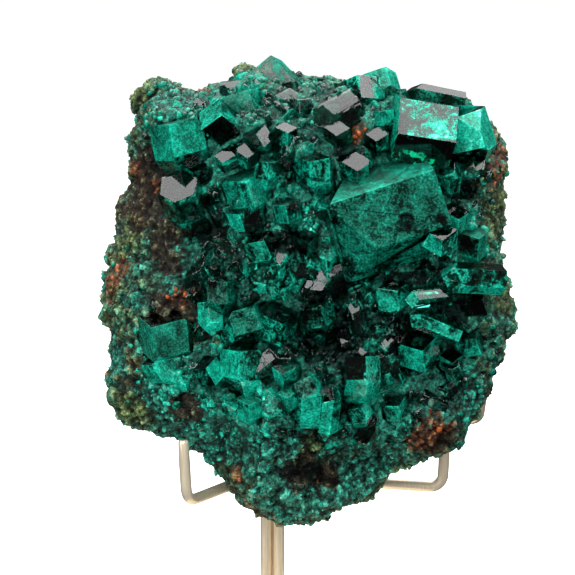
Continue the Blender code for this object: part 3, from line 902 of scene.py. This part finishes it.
smallCrystal = {
    "kinds": 8,
    "chips": 2,  # broken corners of every other one
    "chipRise": (0.2, 1.2),
    "chipDepth": 0.95,
    "rhombs": 3,
    "rhombAngle": math.radians(51),
    "uneven": 0.35,
    "half": 1.5,
    "rim": 0.12,
    "turn": 0.35,
    "litShare": 0.04,
    "width": (0.65, 1.1),
    "length": (0.8, 1.4),
    "rodGap": 2.2,  # in its own radius, as the next is
    "crystalGap": 0.25,
    "behind": 9 * mm,  # a large crystal this close behind it is hidden by it
    "probes": ((0, 0), (1, 0), (-1, 0), (0, 1), (0, -1)),
    "hiding": 0.8,  # how far out the probes are, in its own radius
    "backed": 0.9,  # how much of it has the stone behind it
    "topSpared": 0.75,
    "darkThinned": 0.35,
    "bareLimit": 0.3,
    "tone": (0.42, -0.10),  # on a wall, and what is added on the top
    "frost": (0.48, 0.30),
}


def cutModel(place, outward):
    bpy.ops.mesh.select_all(action="SELECT")
    bpy.ops.mesh.bisect(plane_co=tuple(place), plane_no=tuple(outward), use_fill=True, clear_outer=True)


def modelSmallCrystal(number, rimmed):
    bpy.ops.mesh.primitive_cylinder_add(vertices=6, radius=1, depth=2 * smallCrystal["half"])
    piece = bpy.context.object
    bpy.ops.object.mode_set(mode="EDIT")
    slope = smallCrystal["rhombAngle"]
    for face in range(smallCrystal["rhombs"]):
        angle = math.tau * face / smallCrystal["rhombs"]
        across = Vector((math.cos(angle), math.sin(angle), 0)) * math.sin(slope)
        outward = across + Vector((0, 0, math.cos(slope)))
        cutModel(Vector((0, 0, smallCrystal["half"] - dice.uniform(0, smallCrystal["uneven"]))), outward)
    for chip in range(smallCrystal["chips"] * (number % 2)):
        outward = Vector((*dice.normal(size=2), dice.uniform(*smallCrystal["chipRise"]))).normalized()
        cutModel(outward * smallCrystal["chipDepth"], outward)
    bpy.ops.mesh.select_all(action="SELECT")
    bpy.ops.mesh.normals_make_consistent(inside=False)
    if rimmed:
        bpy.ops.mesh.inset(thickness=smallCrystal["rim"], use_individual=True, use_relative_offset=True)
    bpy.ops.object.mode_set(mode="OBJECT")
    return piece


def modelGrain():
    bpy.ops.mesh.primitive_ico_sphere_add(subdivisions=1, radius=1)
    piece = bpy.context.object
    for vertex in piece.data.vertices:
        vertex.co *= dice.uniform(*grains["uneven"])
    return piece


def modelVeil():
    bpy.ops.mesh.primitive_cylinder_add(vertices=veils["sides"], radius=1, depth=veils["thick"])
    return bpy.context.object


crystalTree = treeOf(bigCrystals)
stoneTree = treeOf([rockSkin] + bigCrystals)

# Radii are in millimetres, and rise and inside count in radii. Spares is how surely a crystal that would hide
# a large one is left out, and inside is how much of a crystal stays within the stone's outline.

mediumSets = {
    "crystals_large": {
        "count": 4400, "radius": (1.9, 3.8), "evenness": 1.2, "rise": (0.25, 0.95), "tilt": 0.42,
        "rimmed": True, "reach": 0.83, "spread": 0.12, "spares": 2.2, "inside": 1.1},
    "crystals_medium": {
        "count": 8000, "radius": (1.0, 2.1), "evenness": 1.0, "rise": (0.25, 0.95), "tilt": 0.48,
        "rimmed": True, "reach": 0.94, "spread": 0.10, "spares": 1.1, "inside": 0.5},
    "crystals_small": {
        "count": 5500, "radius": (0.5, 1.1), "evenness": 1.2, "rise": (0.4, 1.2), "tilt": 0.60,
        "rimmed": False, "reach": 1.04, "spread": 0.08, "spares": 0.9, "inside": 0.0},
}


def radiiOf(count, limits, evenness):
    low, high = limits
    return (low + (high - low) * dice.uniform(size=count) ** evenness) * mm


def shareBefore(tree, places, radii, reach):  # how much of each crystal has the tree close behind it
    found = np.zeros(len(places))
    for across, up in smallCrystal["probes"]:
        for number, place in enumerate(places):
            start = Vector(place) + Vector((across, 0, up)) * radii[number]
            hit = tree.ray_cast(start, (start - eyePlace()).normalized(), reach)
            found[number] += hit[0] is not None
    return found / len(smallCrystal["probes"])


def makeMediumCrystals(name):
    chosen = mediumSets[name]
    models = rimmedModels if chosen["rimmed"] else sharpModels
    places, normals = surfacePoints(rockSkin, chosen["count"], rockCalm)
    kept = dice.uniform(size=len(places)) < frontShare(places, normals, chosen["reach"])
    kept &= dice.uniform(size=len(places)) > nearness(places, "dark") * smallCrystal["darkThinned"]
    places, normals = places[kept], normals[kept]
    topness = np.clip(normals[:, 2], 0, 1)  # those on the top are more frosted
    radii = radiiOf(len(places), chosen["radius"], chosen["evenness"])
    frames = crystalTurns(normals, chosen["tilt"])
    rises = radii * dice.uniform(*chosen["rise"], len(places))
    tips = places + frames[:, :, 2] * rises[:, None]
    free = clearOf(rodTree, places, radii * smallCrystal["rodGap"])
    free &= outsideOf(crystalTree, tips, radii * smallCrystal["crystalGap"])
    hiding = shareBefore(crystalTree, tips, radii * smallCrystal["hiding"], smallCrystal["behind"])
    hiding = hiding * (1 - smallCrystal["topSpared"] * topness)
    free &= dice.uniform(size=len(tips)) > hiding * chosen["spares"]
    free &= nearness(tips, "bare") < smallCrystal["bareLimit"]
    free &= shareBefore(stoneTree, tips, radii * chosen["inside"], 1.0) > smallCrystal["backed"]
    places, frames, radii, tips, topness = places[free], frames[free], radii[free], tips[free], topness[free]
    lengths = radii * dice.uniform(*smallCrystal["length"], len(places))
    widths = radii * dice.uniform(*smallCrystal["width"], len(places))
    middles = tips - frames[:, :, 2] * (lengths * smallCrystal["half"])[:, None]
    tone, frost = (wall + added * topness for wall, added in (smallCrystal["tone"], smallCrystal["frost"]))
    values = ownValues(tips, tone, frost, chosen["spread"])
    sizes = np.stack([radii, widths, lengths], axis=1)
    piece = joinedCopies(name, models, middles, frames, sizes, values)
    finishPiece(piece, dioptaseSurface, "dioptase")
    print(name, "done:", len(places))


druse = {
    "count": 9000,
    "radius": (0.25, 0.62),
    "evenness": 2,
    "shape": (0.75, 1.2),
    "tilt": 0.6,
    "reach": 1.05,
    "beyond": 0.10,  # the share of it that grows outside the front
    "rodGap": 2.4,
    "tone": 0.38,
    "spread": 0.14,
    "paleness": 0.45,
}


def makeDruse(models):
    places, normals = surfacePoints(rockSkin, druse["count"])
    share = np.clip(frontShare(places, normals, druse["reach"]) + druse["beyond"], 0, 1)
    kept = dice.uniform(size=len(places)) < share
    places, normals = places[kept], normals[kept]
    radii = radiiOf(len(places), druse["radius"], druse["evenness"])
    free = clearOf(rodTree, places, radii * druse["rodGap"]) & outsideOf(crystalTree, places, radii * 0)
    places, normals, radii = places[free], normals[free], radii[free]
    sizes = radii[:, None] * dice.uniform(*druse["shape"], (len(places), 3))
    values = ownValues(places, druse["tone"], 1.0, druse["spread"], druse["paleness"])
    piece = joinedCopies("druse", models, places, turns(normals, druse["tilt"]), sizes, values)
    finishPiece(piece, druseSurface, "dioptase")
    print("druse done:", len(places))


grains = {
    "kinds": 4,
    "uneven": (0.65, 1.25),
    "count": 14000,
    "radius": (0.15, 0.42),
    "evenness": 2,
    "shape": (0.7, 1.2),
    "tilt": 0.8,
    "frontBare": 0.93,
    "rodGap": 1.6,
    "spread": 0.06,
}


def makeGrains(models):
    places, normals = surfacePoints(rockSkin, grains["count"])
    kept = dice.uniform(size=len(places)) > frontShare(places, normals, 1.0) * grains["frontBare"]
    places, normals = places[kept], normals[kept]
    radii = radiiOf(len(places), grains["radius"], grains["evenness"])
    free = clearOf(rodTree, places, radii * grains["rodGap"]) & outsideOf(crystalTree, places, radii * 0)
    places, normals, radii = places[free], normals[free], radii[free]
    sizes = radii[:, None] * dice.uniform(*grains["shape"], (len(places), 3))
    # the grains take the rock's painted shade of the pits
    tones = np.array([rockPitShade[rockIndex.find(Vector(place))[1]] for place in places])
    values = np.repeat(tones[:, None] + dice.normal(size=(len(places), 1)) * grains["spread"], 3, axis=1)
    piece = joinedCopies("crust_grains", models, places, turns(normals, grains["tilt"]), sizes, values)
    finishPiece(piece, grainSurface, "gossan")
    print("crust grains done:", len(places))


veils = {"each": 9, "depth": (0.8, 3.0), "radius": (0.5, 2.0), "width": 0.6, "rockGap": 0.2,
         "cover": 0.5, "tilt": 0.9, "sides": 9, "thick": 0.03}


def makeVeils(model):  # wisps sealed in the large crystals
    found = [surfacePoints(piece, veils["each"]) for piece in bigCrystals]
    places = np.concatenate([pair[0] for pair in found])
    normals = np.concatenate([pair[1] for pair in found])
    places = places - normals * dice.uniform(*veils["depth"], (len(places), 1)) * mm
    radii = dice.uniform(*veils["radius"], len(places)) * mm
    inside = outsideOf(rockTree, places, radii * veils["rockGap"])
    inside &= ~outsideOf(crystalTree, places, -veils["cover"] * radii)
    places, normals, radii = places[inside], normals[inside], radii[inside]
    sizes = np.stack([radii, radii * veils["width"], radii], axis=1)
    values = dice.uniform(size=(len(places), 3))
    piece = joinedCopies("inner_veils", [model], places, turns(normals, veils["tilt"]), sizes, values)
    finishPiece(piece, veilSurface, "dioptase")
    print("veils done:", len(places))


rimmedModels = [modelSmallCrystal(number, True) for number in range(smallCrystal["kinds"])]
sharpModels = [modelSmallCrystal(number, False) for number in range(smallCrystal["kinds"])]
grainModels = [modelGrain() for number in range(grains["kinds"])]
veilModel = modelVeil()
for name in mediumSets:
    makeMediumCrystals(name)
makeDruse(sharpModels[:2])
makeGrains(grainModels)
makeVeils(veilModel)
for model in rimmedModels + sharpModels + grainModels + [veilModel]:
    bpy.data.objects.remove(model)


# The stand

rods = {"levels": 2, "fill": 0.05 * mm}


def makeRods():
    for name in rodNames:
        piece = mergedCopy(name, "smooth_" + name)
        applyModifier(piece, "SUBSURF", levels=rods["levels"], render_levels=rods["levels"])
        applyModifier(piece, "DISPLACE", strength=rods["fill"], mid_level=0.0)
        makeActive(piece)
        bpy.ops.object.shade_smooth()
        finishPiece(piece, metalSurface, "rod_metal", name)


base = {"sides": 160, "edge": 0.7 * mm, "edgeAngle": math.radians(40), "smooth": math.radians(35)}


def makeBase():
    low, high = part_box("stand_base")
    bpy.ops.mesh.primitive_cylinder_add(vertices=base["sides"], radius=high.x, depth=high.z,
                                        location=(0, 0, high.z / 2))
    piece = bpy.context.object
    piece.name = "round_base"
    bpy.ops.object.transform_apply(location=True)
    applyModifier(piece, "BEVEL", width=base["edge"], segments=4, limit_method="ANGLE",
                  angle_limit=base["edgeAngle"])
    bpy.ops.object.shade_smooth_by_angle(angle=base["smooth"])
    finishPiece(piece, metalSurface, "base_metal", "stand_base")


makeRods()
makeBase()
print("stand done")


# The studio

studio = {
    "floor": 6.0,
    "floorColour": (0.9, 0.9, 0.9, 1),
    "floorRoughness": 0.9,
    "floorGlow": 0.92,
    "target": Vector((0, -0.015, 0.07)),  # where the lights point
    "dim": (0.02, 0.14),  # what the stone sees of the room, below and above
    "dimmest": -0.3,  # how far down it looks where the room is dimmest
    "lights": (  # place, size, power and whether faces mirror it
        ((0.0, 0.02, 0.55), (0.80, 0.96), 8.0, True),
        ((-0.45, -0.40, 0.30), (0.25, 0.40), 1.2, True),
        ((0.50, -0.04, 0.28), (0.20, 0.40), 1.0, True),
        ((-0.30, -0.80, 0.35), (0.80, 0.60), 4.5, False),
        ((0.0, -0.22, 0.012), (0.50, 0.30), 0.85, False),
    ),
}


def makeFloor():
    bpy.ops.mesh.primitive_plane_add(size=studio["floor"])
    floor = bpy.context.object
    floor.name = "floor"
    floor.visible_diffuse = False  # the stone doesn't see the white floor
    floor.visible_glossy = False
    floor.visible_transmission = False
    graph = Graph("white_floor")
    floor.data.materials.append(graph.finish(graph.surface(
        Base_Color=studio["floorColour"], Roughness=studio["floorRoughness"], Emission_Color=(1, 1, 1, 1),
        Emission_Strength=studio["floorGlow"])))


def makeLights():
    for place, size, power, mirrored in studio["lights"]:
        bpy.ops.object.light_add(type="AREA", location=place)
        light = bpy.context.object
        light.data.shape = "RECTANGLE"
        light.data.size, light.data.size_y = size
        light.data.energy = power
        light.visible_camera = False
        light.visible_glossy = mirrored
        light.visible_transmission = mirrored
        light.rotation_euler = (studio["target"] - light.location).to_track_quat("-Z", "Y").to_euler()


def makeRoom():
    world = bpy.data.worlds.new("room")
    bpy.context.scene.world = world
    world.use_nodes = True
    nodes, links = world.node_tree.nodes, world.node_tree.links
    way = nodes.new("ShaderNodeTexCoord")
    parts = nodes.new("ShaderNodeSeparateXYZ")
    links.new(way.outputs["Generated"], parts.inputs[0])
    strength = nodes.new("ShaderNodeMapRange")
    strength.inputs["From Min"].default_value = studio["dimmest"]
    strength.inputs["To Min"].default_value, strength.inputs["To Max"].default_value = studio["dim"]
    links.new(parts.outputs[2], strength.inputs["Value"])
    links.new(strength.outputs[0], nodes["Background"].inputs["Strength"])
    nodes["Background"].inputs["Color"].default_value = (1, 1, 1, 1)


makeFloor()
makeLights()
makeRoom()
bpy.context.scene.view_settings.view_transform = "Standard"
print("studio done")
